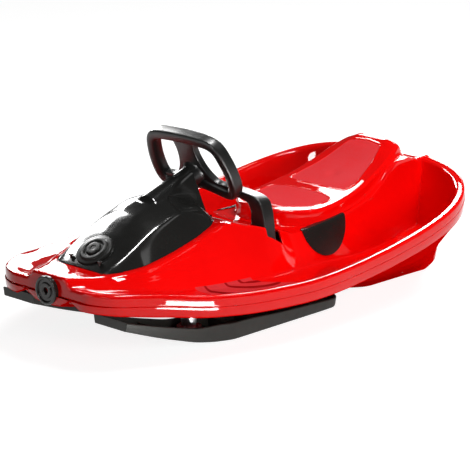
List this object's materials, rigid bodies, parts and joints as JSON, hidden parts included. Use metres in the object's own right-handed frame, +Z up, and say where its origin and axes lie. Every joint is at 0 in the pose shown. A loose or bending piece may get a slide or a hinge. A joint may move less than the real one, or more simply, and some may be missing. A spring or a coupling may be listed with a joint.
{
  "type": "steering sled",
  "caption": "Moulded plastic snow sled with a steering wheel that turns front skis, a moulded saddle seat, foot wells and a hand brake bow with steel claws.",
  "frame": {"origin": "on the ground under the middle of the sled", "axes": "+X forward to the nose, +Y to the rider's left, +Z up"},
  "size_m": [1.018, 0.6, 0.3815],
  "materials": {
    "red_shell": "gloss",
    "seat_red": "matte",
    "black_cover": "satin",
    "black_grip": "satin",
    "ski_plastic": "matte",
    "bush_plastic": "matte",
    "steel": "satin"
  },
  "bodies": {
    "hull": {"deck_shell": "red_shell", "bottom_shell": "red_shell", "seat_cover": "seat_red", "hood": "black_cover", "hood_cap": "black_cover", "hood_cap_screw": "steel", "hood_screws": "steel", "shell_screws": "steel", "rope_guide": "black_cover", "rope_guide_nut": "black_cover", "upper_column_bush": "bush_plastic", "lower_column_bush": "bush_plastic", "column_bracket": "black_grip", "bracket_screws": "steel", "ski_bush_left": "bush_plastic", "ski_bush_right": "bush_plastic", "brake_pin_left": "steel", "brake_pin_right": "steel", "pivot_cover_left": "black_cover", "pivot_cover_right": "black_cover"},
    "steering": {"steering_wheel": "black_grip", "wheel_screw": "steel", "steering_column": "steel", "crank_arm": "steel", "crank_bolt": "steel"},
    "link": {"steering_link": "black_grip"},
    "left_ski": {"ski_left": "ski_plastic", "ski_post_left": "steel", "post_screws_left": "steel", "steering_arm_left": "steel", "arm_pin_left": "steel", "post_nut_left": "steel"},
    "right_ski": {"ski_right": "ski_plastic", "ski_post_right": "steel", "post_screws_right": "steel", "steering_arm_right": "steel", "arm_pin_right": "steel", "post_nut_right": "steel"},
    "brake": {"brake_bow": "black_grip", "brake_claw_left": "steel", "brake_claw_right": "steel", "claw_bolts": "steel"}
  },
  "joints": [
    {"name": "steering_turn", "type": "hinge", "parent": "hull", "child": "steering", "pos_m": [0.105, 0, 0.295], "axis": [-0.9063, 0, 0.4226], "range_deg": [-25, 25]},
    {"name": "link_slide", "type": "slide", "parent": "hull", "child": "link", "axis": [0, 1, 0], "range_m": [-0.02546, 0.02546]},
    {"name": "left_ski_turn", "type": "hinge", "parent": "hull", "child": "left_ski", "pos_m": [0.255, 0.128, 0.06], "axis": [0, 0, 1], "range_deg": [-17.41, 17.41]},
    {"name": "right_ski_turn", "type": "hinge", "parent": "hull", "child": "right_ski", "pos_m": [0.255, -0.128, 0.06], "axis": [0, 0, 1], "range_deg": [-17.41, 17.41]},
    {"name": "brake_pull", "type": "hinge", "parent": "hull", "child": "brake", "pos_m": [-0.137, 0, 0.12], "axis": [0, -1, 0], "range_deg": [0, 12]}
  ],
  "couplings": [
    {"joint": "link_slide", "follows": "steering_turn", "m_per_rad": -0.05811},
    {"joint": "left_ski_turn", "follows": "steering_turn", "ratio": 0.6943},
    {"joint": "right_ski_turn", "follows": "steering_turn", "ratio": 0.6943}
  ]
}
